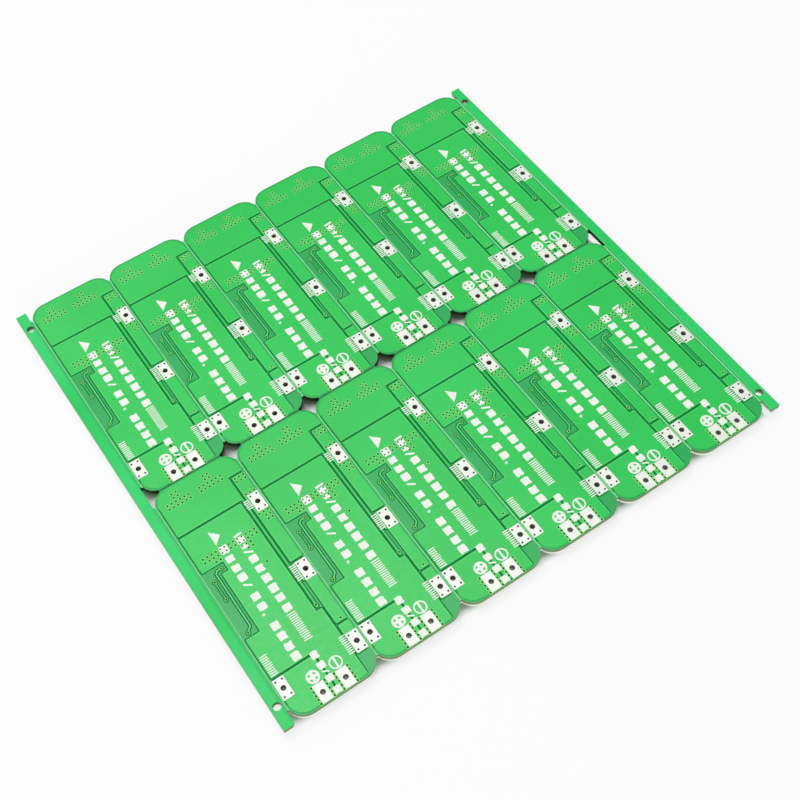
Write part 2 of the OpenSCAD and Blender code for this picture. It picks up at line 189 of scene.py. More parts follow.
def piece(name, form, material, places=BOARDS, smooth=False):
    """A new object that holds the form once at each place, and rides with the panel."""
    verts, faces = [], []
    for x0, y0 in places:
        base = len(verts)
        verts += [((x + x0) * MM, (y + y0) * MM, z * MM) for x, y, z in form.verts]
        faces += [tuple(base + k for k in face) for face in form.faces]
    mesh = bpy.data.meshes.new(name)
    mesh.from_pydata(verts, [], faces)
    mesh.validate()
    mesh.update()
    mesh.materials.append(MATERIALS[material])
    if smooth:
        mesh.polygons.foreach_set("use_smooth", [True] * len(mesh.polygons))
    obj = bpy.data.objects.new(name, mesh)
    bpy.context.scene.collection.objects.link(obj)
    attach(obj, "root")


# ---- Node material helpers ----

def new_material(name):
    mat = bpy.data.materials.new(name)
    mat.use_nodes = True
    tree = mat.node_tree
    tree.nodes.clear()
    out = tree.nodes.new("ShaderNodeOutputMaterial")
    bsdf = tree.nodes.new("ShaderNodeBsdfPrincipled")
    tree.links.new(bsdf.outputs[0], out.inputs[0])
    return mat, tree, bsdf


def is_socket(value):
    return hasattr(value, "is_linked")


def node(tree, kind, **values):
    """A new node. A value sets an input, named or as i with its number, or, with _ first, a property."""
    new = tree.nodes.new("ShaderNode" + kind)
    for key, value in values.items():
        if key.startswith("_"):
            setattr(new, key[1:], value)
            continue
        numbered = key[0] == "i" and key[1:].isdigit()
        socket = new.inputs[int(key[1:]) if numbered else key.replace("_", " ")]
        if is_socket(value):
            tree.links.new(value, socket)
        else:
            socket.default_value = value
    return new


def coordinates(tree):
    return node(tree, "TexCoord").outputs["Object"]


def parts(tree, vector):
    return node(tree, "SeparateXYZ", i0=vector).outputs


def noise(tree, scale, detail, rough=0.5, vector=None):
    """Noise between 0 and 1. The scale is in waves for each metre."""
    texture = node(tree, "TexNoise", Scale=scale, Detail=detail, Roughness=rough)
    tree.links.new(vector or coordinates(tree), texture.inputs["Vector"])
    return texture.outputs[0]


def spread(tree, value, low, high, out_low=0.0, out_high=1.0):
    """The value, moved from low to high onto out_low to out_high and held between those."""
    return node(tree, "MapRange", Value=value, From_Min=low, From_Max=high,
                To_Min=out_low, To_Max=out_high).outputs[0]


def blend(tree, factor, a, b):
    """Colour a where factor is 0, b where it is 1."""
    mix = node(tree, "Mix", _data_type="RGBA", i0=factor)
    for socket, value in ((mix.inputs[6], a), (mix.inputs[7], b)):
        if is_socket(value):
            tree.links.new(value, socket)
        else:
            socket.default_value = (*value, 1)
    return mix.outputs[2]


def math_node(tree, kind, a, b=0.0):
    return node(tree, "Math", _operation=kind, i0=a, i1=b).outputs[0]


def times(tree, a, b):
    return math_node(tree, "MULTIPLY", a, b)


def minus(tree, a, b):
    return math_node(tree, "SUBTRACT", a, b)


def absolute(tree, value):
    return math_node(tree, "ABSOLUTE", value)


def over(tree, value, limit):
    return math_node(tree, "GREATER_THAN", value, limit)


def under(tree, value, limit):
    return math_node(tree, "LESS_THAN", value, limit)


def distance(tree, x, y):
    return math_node(tree, "SQRT", math_node(tree, "ADD", times(tree, x, x), times(tree, y, y)))


def wave(tree, value, length):
    """A wave of that length, between -1 and 1."""
    return math_node(tree, "SINE", times(tree, value, 2 * math.pi / length))


def facing(tree, axis):
    """How far a face looks along an axis: 1 if straight along it, 0 if across."""
    return absolute(tree, parts(tree, node(tree, "TexCoord").outputs["Normal"])[axis])


def bump(tree, bsdf, height, strength, depth):
    raised = node(tree, "Bump", Strength=strength, Distance=depth, Height=height)
    tree.links.new(raised.outputs[0], bsdf.inputs["Normal"])


# ---- Materials ----

X, Y, Z = 0, 1, 2                           # numbers of the axes
UP_FACE = 0.8                               # facing along Z, over which a face is a flat one
WALL_FACE = 0.12                            # and under which it is an upright wall
# Depth from the upper face at which a cut wall starts to be dark, and at which it is all dark
SKIN_DEPTH = (1.15, 0.82)                   # on the panel's outer edge
GAP_SHADE_DEPTH = (1.6, 1.1)                     # in the gaps inside the panel, where the dark is painted shade
OUTER_X, OUTER_Y = 62.5, 50.0               # walls nearer to the panel's middle are those of the gaps
PAD_VIA_EDGE = (0.26, 0.20)                 # radius where a pad via's dark dot, painted shade of its hole, starts and is full
BARREL_DEPTH = 0.02                         # from the laminate's faces, where the painted shade on a hole's plating starts


def mask_material(name, light, dark, wall, gloss=0.45):
    """Green solder mask: mottled on a scale of centimetres and of millimetres, with a fine ripple."""
    mat, tree, bsdf = new_material(name)
    broad = spread(tree, noise(tree, 38, 2), 0.35, 0.65)
    fine = spread(tree, noise(tree, 900, 4), 0.3, 0.7)
    mottled = blend(tree, broad, dark, light)
    grain = blend(tree, times(tree, fine, 0.16), mottled, [c * 0.82 for c in dark])
    # Upright faces take the wall's dark tone: partly thicker mask, partly painted shade
    sides = under(tree, facing(tree, Z), 0.6)
    tree.links.new(blend(tree, sides, grain, wall), bsdf.inputs["Base Color"])
    tree.links.new(spread(tree, fine, 0, 1, 0.26, 0.37), bsdf.inputs["Roughness"])
    bsdf.inputs["Specular IOR Level"].default_value = gloss
    bump(tree, bsdf, noise(tree, 2600, 3), 0.18, 0.02 * MM)
    return mat


def fibreglass(tree):
    """Colour and height of a cut edge: woven layers that lie flat, with frayed fibre ends, and painted shade
    on the walls of the gaps inside the panel.
    """
    where = coordinates(tree)
    x, y, z = parts(tree, where)
    fibres = noise(tree, 1500, 5, 0.65, node(tree, "Mapping", i0=where, Scale=(1, 1, 4)).outputs[0])
    layers = spread(tree, wave(tree, z, 0.2 * MM), -1, 1)
    tone = math_node(tree, "ADD", times(tree, layers, 0.35), times(tree, fibres, 0.65))
    core = blend(tree, spread(tree, tone, 0.3, 0.75), (0.86, 0.86, 0.78), (0.95, 0.95, 0.90))
    skin = blend(tree, fibres, (0.12, 0.17, 0.07), (0.28, 0.34, 0.17))
    outside = blend(tree, spread(tree, z, *((Z_TOP - depth) * MM for depth in SKIN_DEPTH)), core, skin)
    # Painted shade: the walls of the gaps inside the panel are dark, and paler towards the bottom
    gap_shade = spread(tree, z, *((Z_TOP - depth) * MM for depth in GAP_SHADE_DEPTH))
    gap = blend(tree, gap_shade, (0.30, 0.27, 0.18), (0.020, 0.050, 0.018))
    inner_x = under(tree, absolute(tree, x), OUTER_X * MM)
    inner_y = under(tree, absolute(tree, y), OUTER_Y * MM)
    return blend(tree, times(tree, inner_x, inner_y), outside, gap), tone


def laminate_weave(tree):
    """The glass cloth that shows faintly through bare mask: threads both ways."""
    x, y, _ = parts(tree, coordinates(tree))
    thread = 0.42 * MM
    return spread(tree, times(tree, wave(tree, x, thread), wave(tree, y, thread)), -1, 1)


def pad_vias(tree):
    """1 within the small vias at the four corners of the tap pads, which lie alike on every board."""
    x, y, _ = parts(tree, coordinates(tree))
    middle = BOARD_W / 2 * MM
    u = math_node(tree, "MODULO", math_node(tree, "ADD", x, HALF_W * MM), BOARD_W * MM)
    right = over(tree, u, middle)
    u = absolute(tree, minus(tree, absolute(tree, minus(tree, u, middle)), RIGHT_X * MM - middle))
    u = minus(tree, u, PAD_VIA_DX * MM)
    v = math_node(tree, "MODULO", math_node(tree, "ADD", y, HALF_L * MM), BOARD_L * MM)
    lowest = under(tree, v, (TAPS[0] + TAPS[1]) / 2 * MM)
    v = math_node(tree, "PINGPONG", minus(tree, v, TAPS[0] * MM), (TAPS[1] - TAPS[0]) / 2 * MM)
    v = minus(tree, v, PAD_VIA_DY * MM)
    dots = spread(tree, distance(tree, u, v), *(r * MM for r in PAD_VIA_EDGE))
    return times(tree, math_node(tree, "MAXIMUM", right, lowest), dots)


def laminate_material():
    """Bare mask on both faces, fibreglass on the routed walls, and pale cut mask in the V-scores, with
    painted shade in the scores between the rows, in the gaps and in the tap pads' vias.
    """
    mat, tree, bsdf = new_material("laminate_mask")
    broad = spread(tree, noise(tree, 60, 2), 0.35, 0.65)
    face = blend(tree, broad, (0.003, 0.365, 0.072), (0.008, 0.410, 0.088))
    face = blend(tree, times(tree, laminate_weave(tree), 0.3), face, (0.020, 0.47, 0.11))
    # Painted shade: dark dots where the tap pads' via holes are
    face = blend(tree, pad_vias(tree), face, (0.020, 0.026, 0.016))
    edge, height = fibreglass(tree)
    up = facing(tree, Z)
    score_tone = spread(tree, noise(tree, 1800, 4, 0.6), 0.3, 0.7)
    cut = blend(tree, score_tone, (0.46, 0.94, 0.56), (0.64, 0.98, 0.68))
    # Painted shade: the scores between the rows, whose walls face along Y, take a dark copy of the cut mask
    shaded_row_scores = over(tree, facing(tree, Y), 0.5)
    cut = blend(tree, shaded_row_scores, cut, (0.11, 0.36, 0.13))
    score = times(tree, over(tree, up, WALL_FACE), under(tree, up, UP_FACE))
    flat = over(tree, up, UP_FACE)
    tree.links.new(blend(tree, flat, blend(tree, score, edge, cut), face), bsdf.inputs["Base Color"])
    tree.links.new(spread(tree, flat, 0, 1, 0.75, 0.32), bsdf.inputs["Roughness"])
    tree.links.new(spread(tree, flat, 0, 1, 0.1, 0.42), bsdf.inputs["Specular IOR Level"])
    bump(tree, bsdf, height, 0.35, 0.03 * MM)
    return mat


def tin_material(name, bright, dull, rough, metal, vias=False):
    """Hot-air levelled tin: soft unevenness and a slightly frosted skin. Painted shade darkens it in the
    plated holes, and in the pads' small vias.
    """
    mat, tree, bsdf = new_material(name)
    flow = noise(tree, 420, 3)
    frost = noise(tree, 3000, 5, 0.6)
    skin = blend(tree, spread(tree, flow, 0.35, 0.7), bright, dull)
    height = math_node(tree, "ADD", flow, times(tree, frost, 0.15))
    if vias:
        # Painted shade: dark dents where the pads' small vias are
        dots = pad_vias(tree)
        skin = blend(tree, dots, skin, (0.040, 0.048, 0.032))
        height = minus(tree, height, dots)
    # Painted shade on the plated holes' walls
    z = parts(tree, coordinates(tree))[Z]
    below_top = under(tree, z, (Z_TOP - BARREL_DEPTH) * MM)
    above_bottom = over(tree, z, (Z_UNDER + BARREL_DEPTH) * MM)
    shaded_barrel = times(tree, times(tree, below_top, above_bottom), under(tree, facing(tree, Z), 0.5))
    tree.links.new(blend(tree, shaded_barrel, skin, (0.30, 0.28, 0.225)), bsdf.inputs["Base Color"])
    tree.links.new(spread(tree, frost, 0.3, 0.7, *rough), bsdf.inputs["Roughness"])
    bsdf.inputs["Metallic"].default_value = metal
    bump(tree, bsdf, height, 0.35, 0.08 * MM)
    return mat


def plain_material(name, dark, light, scale, rough, strength=0.2, gloss=0.5):
    """A grained surface: two near tones, roughness from the same grain, and a fine bump."""
    mat, tree, bsdf = new_material(name)
    grain = noise(tree, scale, 5, 0.6)
    tree.links.new(blend(tree, spread(tree, grain, 0.3, 0.7), dark, light), bsdf.inputs["Base Color"])
    tree.links.new(spread(tree, grain, 0.3, 0.7, *rough), bsdf.inputs["Roughness"])
    bsdf.inputs["Specular IOR Level"].default_value = gloss
    bump(tree, bsdf, grain, strength, 0.02 * MM)
    return mat


WALL = (0.004, 0.16, 0.02)                  # mask on a copper area's side, dark partly from thicker mask and partly from painted shade
MATERIALS = {
    "laminate": laminate_material(),
    # Light and dark tone of the mask over copper, and its tone on the copper's side
    "copper": mask_material("masked_copper", (0.013, 0.610, 0.094), (0.004, 0.560, 0.070),
                            (0.003, 0.14, 0.02)),
    "track": mask_material("masked_track", (0.100, 0.760, 0.220), (0.070, 0.700, 0.175), WALL),
    "rail": mask_material("masked_rail", (0.034, 0.680, 0.165), (0.012, 0.600, 0.110), WALL, gloss=0.24),
    "shoulder": mask_material("mask_shoulder", (0.062, 0.710, 0.160), (0.045, 0.670, 0.130), WALL),
    # Dark and light tone, grain in waves for each metre, range of the roughness
    # The fillet is dark partly because the mask lies thicker there, partly with painted shade
    "fillet": plain_material("shaded_mask_fillet", (0.004, 0.180, 0.030), (0.007, 0.225, 0.043),
                             1400, (0.35, 0.5), gloss=0.06),
    "edge_fillet": plain_material("mask_edge_fillet", (0.010, 0.340, 0.070), (0.018, 0.400, 0.090),
                                  1400, (0.35, 0.5), gloss=0.3),
    "ring": plain_material("via_ring", (0.170, 0.700, 0.165), (0.270, 0.800, 0.230),
                           1700, (0.4, 0.6), 0.3, gloss=0.2),
    # The bores' dark discs are painted shade where the vias' holes are
    "plug": plain_material("via_bore_shade", (0.004, 0.055, 0.008), (0.010, 0.090, 0.014),
                           2500, (0.5, 0.7), gloss=0.05),
    "print": plain_material("white_print", (0.86, 0.92, 0.82), (0.95, 0.96, 0.90),
                            1900, (0.5, 0.7), 0.25, gloss=0.3),
    "score": plain_material("score_rim", (0.03, 0.50, 0.12), (0.09, 0.62, 0.19),
                            1500, (0.5, 0.8), 0.4, gloss=0.1),
    "mould": plain_material("moulded_epoxy", (0.017, 0.017, 0.019), (0.034, 0.034, 0.037),
                            4200, (0.5, 0.68), 0.35),
    "resistor": plain_material("resistor_glaze", (0.014, 0.014, 0.017), (0.028, 0.028, 0.033),
                               2600, (0.28, 0.4), 0.15),
    "capacitor": plain_material("capacitor_ceramic", (0.34, 0.22, 0.12), (0.46, 0.31, 0.18),
                                2200, (0.45, 0.6), 0.15),
    # Bright and dull tone, range of the roughness, metal
    "tin": tin_material("levelled_tin", (0.83, 0.875, 0.79), (0.75, 0.80, 0.715),
                        (0.36, 0.52), 0.15, vias=True),
    "lead": tin_material("tinned_lead", (0.84, 0.84, 0.82), (0.66, 0.66, 0.65), (0.28, 0.42), 0.85),
    "solder": tin_material("solder", (0.86, 0.86, 0.84), (0.70, 0.70, 0.69), (0.2, 0.34), 0.9),
}

NODE_MATERIAL = {
    "laminate": "laminate", "rail_copper": "rail", "signal_tracks": "track", "underside_lands": "tin",
    "discharge_transistors": "mould", "charge_transistors": "mould", "protection_chips": "mould",
    "sense_resistors": "resistor", "chip_resistors": "resistor", "chip_capacitors": "capacitor",
}


def node_material(name):
    """The material of a CAD node: what has no other one is masked copper."""
    if name.startswith("pad_"):
        return "tin"
    if name.endswith(("_leads", "_ends")):
        return "lead"
    return NODE_MATERIAL.get(name, "copper")


for name, obj in nodes.items():
    obj.data.materials.clear()
    obj.data.materials.append(MATERIALS[node_material(name)])


# ---- Solder mask that runs down the copper's edges ----

LIMIT_X, LIMIT_Y = HALF_W + RAIL_W - 0.01, HALF_L - 0.01        # just inside the panel's edge
SIDE_BAND, END_BAND = 0.9, 1.1              # how near to a board's side and end its outer copper edges lie
STRAIGHT = (CORNER_R, BOARD_L - CORNER_R)   # Y of a board's straight sides
TAIL = (15.6, 16.3)                         # X of the source area's sense tail
TOOLING_CLEAR = 1.6                         # round a rail's hole, where the mask's slope is narrow
SHORTEST_RIM = 1.6                          # a shorter one is a via's bore


def rims(name):
    """Boundary of a copper node's upper face: closed loops of (x, y), with the face on their left."""
    mesh = nodes[name].data
    co = np.empty(len(mesh.vertices) * 3)
    mesh.vertices.foreach_get("co", co)
    co = np.round(co.reshape(-1, 3) / MM, 4)
    keys = {}
    same = [keys.setdefault(tuple(c), len(keys)) for c in co]
    points = list(keys)
    follow = {}
    for poly in mesh.polygons:
        corners = [same[v] for v in poly.vertices]
        if any(abs(points[c][2] - Z_COPPER) > 0.002 for c in corners):
            continue
        for k, a in enumerate(corners):
            b = corners[(k + 1) % len(corners)]
            if b in follow.get(a, ()) or a == b:
                continue
            if a in follow.get(b, ()):
                follow[b].remove(a)
            else:
                follow.setdefault(a, []).append(b)
    out = []
    for start in list(follow):
        while follow.get(start):
            loop, here = [start], follow[start].pop()
            while here != start and follow.get(here):
                loop.append(here)
                here = follow[here].pop()
            if len(loop) > 2:
                out.append([points[k][:2] for k in loop])
    return out


def offsets(loop):
    """A loop's points, without doubles, and for each the step that moves its corner 1 mm outwards."""
    p = np.array(loop)
    p = p[np.linalg.norm(np.roll(p, -1, 0) - p, axis=1) > 1e-3]
    if len(p) < 3:
        return None
    run = np.roll(p, -1, 0) - p
    length = np.linalg.norm(run, axis=1)
    if length.sum() < SHORTEST_RIM:
        return None
    out = np.stack([run[:, 1], -run[:, 0]], 1) / length[:, None]
    corner = out + np.roll(out, 1, 0)
    corner /= np.maximum(np.linalg.norm(corner, axis=1), 1e-6)[:, None]
    stretch = 1 / np.maximum((corner * out).sum(1), 0.6)
    return p, corner * stretch[:, None]


def local(p):
    """A point of the panel, from the lower left corner of its board."""
    return (p[0] + HALF_W) % BOARD_W, (p[1] + HALF_L) % BOARD_L


def at_edge(p):
    """Whether a point lies close inside its board's outline."""
    u, v = local(p)
    if min(u, BOARD_W - u) < SIDE_BAND or min(v, BOARD_L - v) < END_BAND:
        return True
    dx = abs(u - BOARD_W / 2) - (BOARD_W / 2 - CORNER_R)
    dy = abs(v - BOARD_L / 2) - (BOARD_L / 2 - CORNER_R)
    return min(dx, dy) > 0.2 and math.hypot(dx, dy) > CORNER_R - SIDE_BAND


def on_pad(p):
    """Whether a point lies on the outline of one of its board's wire pads."""
    u, v = local(p)
    near = 0.02
    return any(abs(u - x) < PAD_W / 2 + near and abs(v - y) < length / 2 + near for x, y, length in PADS)


def wedge(form, p, corner, k, profile):
    """A closed strip along one side of a loop; profile is a list of (how far out, z)."""
    base, n, m = len(form.verts), len(profile), (k + 1) % len(p)
    for q in (k, m):
        for out, z in profile:
            x, y = p[q] + corner[q] * out
            form.verts.append((min(max(x, -LIMIT_X), LIMIT_X), min(max(y, -LIMIT_Y), LIMIT_Y), z))
    for a in range(n):
        b = (a + 1) % n
        form.faces.append((base + a, base + b, base + n + b, base + n + a))
    form.faces += [tuple(base + a for a in reversed(range(n))), tuple(base + n + a for a in range(n))]


def slope(points, reach):
    """A profile from the copper's edge outwards, down to a foot that ends just inside the laminate."""
    return points + [(reach, Z_TOP + 0.004), (reach, Z_TOP - 0.003), (points[0][0], Z_TOP - 0.003)]


def strip(start, end, lift):
    """A profile of a thin strip that lies on the copper."""
    low = Z_COPPER - 0.010
    return [(start, Z_COPPER + lift), (end, Z_COPPER + lift), (end, low), (start, low)]


# Profiles across a copper edge. What lies over each other on the copper has lifts of its own:
# 0.001, 0.0015 and 0.002.
DROP = [(0.0, Z_COPPER + 0.002), (0.05, Z_COPPER - 0.010), (0.10, Z_TOP + 0.022)]
STEEP = slope([(-0.07, Z_COPPER + 0.002)] + DROP, 0.192)
SLIM = slope([(-0.03, Z_COPPER + 0.002)] + DROP, 0.192)
MILD = slope([(-0.01, Z_COPPER - 0.012), (0.08, Z_TOP + 0.026)], 0.19)
BROAD = slope([(-0.01, Z_COPPER - 0.006)], 0.46)
NARROW = slope([(-0.01, Z_COPPER - 0.006)], 0.10)
PAD_SIDE = strip(-0.06, 0.02, 0.001)
SHOULDER = strip(-0.28, -0.065, 0.0015)

fillets, edge_fillets, rail_fillets, shoulders = Form(), Form(), Form(), Form()


def bands_at(name, middle):
    """What the stretch of a copper node's rim with that middle gets: forms, each with a profile."""
    u, v = local(middle)
    if name == "rail_copper":
        near = math.hypot(abs(middle[0]) - TOOLING_X, abs(middle[1]) - TOOLING_Y) < TOOLING_CLEAR
        return [(rail_fillets, NARROW if near else BROAD)]
    if on_pad(middle):
        return [(fillets, PAD_SIDE)]
    if name == "pour_source" and TAIL[0] < u < TAIL[1]:
        return [(fillets, SLIM)]
    if not at_edge(middle):
        return [(fillets, STEEP)] + ([(shoulders, SHOULDER)] if name.startswith("pour_") else [])
    if u < SIDE_BAND and STRAIGHT[0] < v < STRAIGHT[1]:
        return [(fillets, STEEP)]
    return [(edge_fillets, MILD)]


for name in nodes:
    if not name.startswith("pour_") and name not in ("signal_tracks", "rail_copper"):
        continue
    for p, corner in filter(None, map(offsets, rims(name))):
        for k in range(len(p)):
            for form, profile in bands_at(name, (p[k] + p[(k + 1) % len(p)]) / 2):
                wedge(form, p, corner, k, profile)
WHOLE = [(0, 0)]                            # place of a form that covers the whole panel
piece("mask_fillets", fillets, "fillet", WHOLE)
piece("edge_fillets", edge_fillets, "edge_fillet", WHOLE)
piece("rail_fillets", rail_fillets, "rail", WHOLE)
piece("mask_shoulders", shoulders, "shoulder", WHOLE)

# ---- Vias: a raised collar in the mask and a dark disc of painted shade in the bore, on both faces ----

COLLAR_R, BORE_R = 0.435, 0.225
UNDER_COLLAR_R, UNDER_BORE_R = 0.39, 0.18
# Sections of the collars: radius, and height from the face
COLLAR = [(VIA_R, -0.02), (COLLAR_R, -0.02), (COLLAR_R - 0.02, 0.001), (0.33, 0.006), (VIA_R + 0.03, 0.004)]
UNDER_COLLAR = [(VIA_R, 0.01), (VIA_R + 0.01, -0.004),
                (UNDER_COLLAR_R - 0.03, -0.008), (UNDER_COLLAR_R, 0.01)]
# Parts of a board where print lies over vias, and where vias meet copper on the underside
PRINTED_OVER = [(5.5, 36.5, 12.5, 41.5), (8.5, 0, 11.5, 6)]
COPPER_BELOW = [(0, 0, BOARD_W, 9.8), (0, 37, 16.3, 40.5),
                (16.5, 38.4, BOARD_W, BOARD_L), (0, 53.6, BOARD_W, BOARD_L)]

collars, bores = Form(), Form()
under_collars, under_bores = Form(), Form()
for x, y in VIAS:
    collars.ring([(r, Z_COPPER + z) for r, z in COLLAR], x, y, 12)
    bores.slab(circle(x, y, BORE_R, 10), Z_COPPER - 0.03, Z_COPPER + 0.0085)
    if inside(x, y, PRINTED_OVER):
        bores.slab(circle(x, y, BORE_R * 0.86, 10), Z_PRINT - 0.001, Z_PRINT + 0.0015)
    face = Z_BELOW if inside(x, y, COPPER_BELOW) else Z_UNDER
    under_collars.ring([(r, face + z) for r, z in UNDER_COLLAR], x, y, 10)
    under_bores.slab(circle(x, y, UNDER_BORE_R, 8), face - 0.002, face + 0.01)
piece("via_collars", collars, "ring", smooth=True)
piece("via_bores", bores, "plug")
piece("underside_via_collars", under_collars, "ring", smooth=True)
piece("underside_via_bores", under_bores, "plug")

# ---- White print: plain blocks and simple shapes ----
# Y runs down the board here, from the place PRINT_Y near its upper end.

PRINT_Y = 57.2
SINK = 0.004                                # how far print reaches into what it lies on
CROSSING = 0.0008                           # how much higher a sign's bars are than its ring
DENT, WAVER = 0.20, 0.05                    # how far a block's outline lies in, at most
RUNG, RUNG_STEP = 0.25, 0.5                 # width of a short bar, and the step to the next
draw = random.Random(7)
white = Form()


def printed(outline, lift=0.0):
    white.slab([(x, PRINT_Y - y) for x, y in reversed(outline)], Z_COPPER - SINK, Z_PRINT + lift)


def block(x0, y0, x1, y1):
    """A solid block with clipped corners and an uneven outline."""
    around = []
    x0, y0, x1, y1 = x0 + 0.05, y0 + 0.03, x1 - 0.05, y1 - 0.03
    sides = (((x0, y0), (x1, y0), (0, 1)), ((x1, y0), (x1, y1), (-1, 0)),
             ((x1, y1), (x0, y1), (0, -1)), ((x0, y1), (x0, y0), (1, 0)))
    for a, b, inward in sides:
        for t, dented in ((0.14, False), (0.38, True), (0.62, True), (0.86, False)):
            t += draw.uniform(-0.06, 0.06)
            d = draw.uniform(0, DENT) if dented and draw.random() < 0.6 else draw.uniform(0, WAVER)
            around.append(tuple(a[i] + (b[i] - a[i]) * t + inward[i] * d for i in (X, Y)))
    printed(around)


def ladder(x0, x1, y0, y1):
    """Short bars side by side, where small writing was."""
    for k in range(round((y1 - y0) / RUNG_STEP)):
        y = y0 + k * RUNG_STEP
        a, b = x0 + draw.uniform(0, 0.2), x1 - draw.uniform(0, 0.2)
        printed(box(a, y, b, y + RUNG))


# Blocks where the writing was: X of each column, and Y of its blocks
BLOCKS = [
    (5.95, 7.95, [(16.6, 18.8), (19.3, 21.1), (21.8, 23.7), (24.2, 26.2), (29.4, 31.3), (32.0, 33.9),
                  (37.0, 39.1), (39.6, 41.7), (42.2, 44.2), (44.7, 46.8)]),
    (9.9, 11.85, [(16.9, 18.6)]),
    (10.0, 11.6, [(18.85, 20.05)]),
    (9.9, 11.9, [(22.0, 23.9), (24.6, 26.5), (27.1, 29.2), (29.8, 31.9), (32.4, 34.3), (35.1, 37.0)]),
    (9.1, 10.9, [(46.7, 48.55), (49.25, 51.0), (52.4, 54.1), (55.15, 57.0)]),
]
# Single strokes among them: ends and width
STROKES = [((6.2, 26.8), (7.65, 27.75), 0.42), ((10.05, 16.45), (11.75, 16.3), 0.5),
           ((10.05, 20.6), (11.65, 21.45), 0.46), ((9.45, 51.35), (10.6, 52.0), 0.36)]
# Areas of short bars: X from and to, Y from and to
LADDERS = [(9.9, 11.9, 37.45, 44.6), (0.7, 2.45, 41.95, 46.9),
           (15.6, 17.1, 10.55, 13.1), (15.6, 17.1, 28.75, 32.9), (15.6, 17.1, 47.35, 51.75)]
for x0, x1, rows in BLOCKS:
    for y0, y1 in rows:
        block(x0, y0, x1, y1)
for a, b, w in STROKES:
    printed(bar(a, b, w))
for row in LADDERS:
    ladder(*row)
printed([(6.1, 12.3), (8.0, 14.2), (6.1, 16.0)])
printed([(5.95, 34.5), (6.5, 34.4), (6.6, 34.8), (6.2, 35.05), (5.95, 34.9)])

# Polarity of the output pads: a plus and a minus, each in a ring
SIGN_Y, SIGN_R = 51.25, 1.42
for x, w in ((PLUS_X, 0.44), (MINUS_X, 0.32)):
    low = Z_COPPER - SINK
    white.ring([(SIGN_R, low), (SIGN_R, Z_PRINT), (SIGN_R - w, Z_PRINT), (SIGN_R - w, low)],
               x, PRINT_Y - SIGN_Y, 36)
printed(box(PLUS_X - 0.34, SIGN_Y - 1.23, PLUS_X + 0.34, SIGN_Y + 1.23), CROSSING)
for x0, x1 in ((-1.22, -0.34), (0.34, 1.22)):
    printed(box(PLUS_X + x0, SIGN_Y - 0.32, PLUS_X + x1, SIGN_Y + 0.32), CROSSING)
printed(box(MINUS_X - 0.23, SIGN_Y - 1.25, MINUS_X + 0.23, SIGN_Y + 1.25), CROSSING)
piece("white_print", white, "print")

# ---- Underside: solder at the leads, masked tracks and the parts' printed outlines ----

# Distance of the solder from its part's middle
CHIP_JOINT, SMALL_JOINT, FET_JOINT, SHUNT_JOINT = 3.0, 0.8, 2.75, 2.985

joints = Form()
for side in (-1, 1):
    for k in range(CHIP_LEADS):
        y = CHIP[1] + (k - (CHIP_LEADS - 1) / 2) * CHIP_PITCH
        joints.mound(CHIP[0] + side * CHIP_JOINT, y, (0.9, 0.38), Z_UNDER, 0.06, (0.07, 0.07))
    for x, y, along in SMALL_PARTS:
        if along:
            joints.mound(x, y + side * SMALL_JOINT, (0.92, 0.7), Z_UNDER, 0.24, (0.10, 0.27))
        else:
            joints.mound(x + side * SMALL_JOINT, y, (0.7, 0.92), Z_UNDER, 0.24, (0.27, 0.10))
    for x, y in FETS:
        for k in range(FET_LEADS):
            lead_x = x + (k - (FET_LEADS - 1) / 2) * FET_PITCH
            joints.mound(lead_x, y + side * FET_JOINT, (0.6, 0.9), Z_BELOW, 0.12, (0.1, 0.14))
    joints.mound(SHUNT[0], SHUNT[1] + side * SHUNT_JOINT, (3.2, 0.77), Z_BELOW, 0.3, (0.05, 0.19))
piece("solder_joints", joints, "solder")

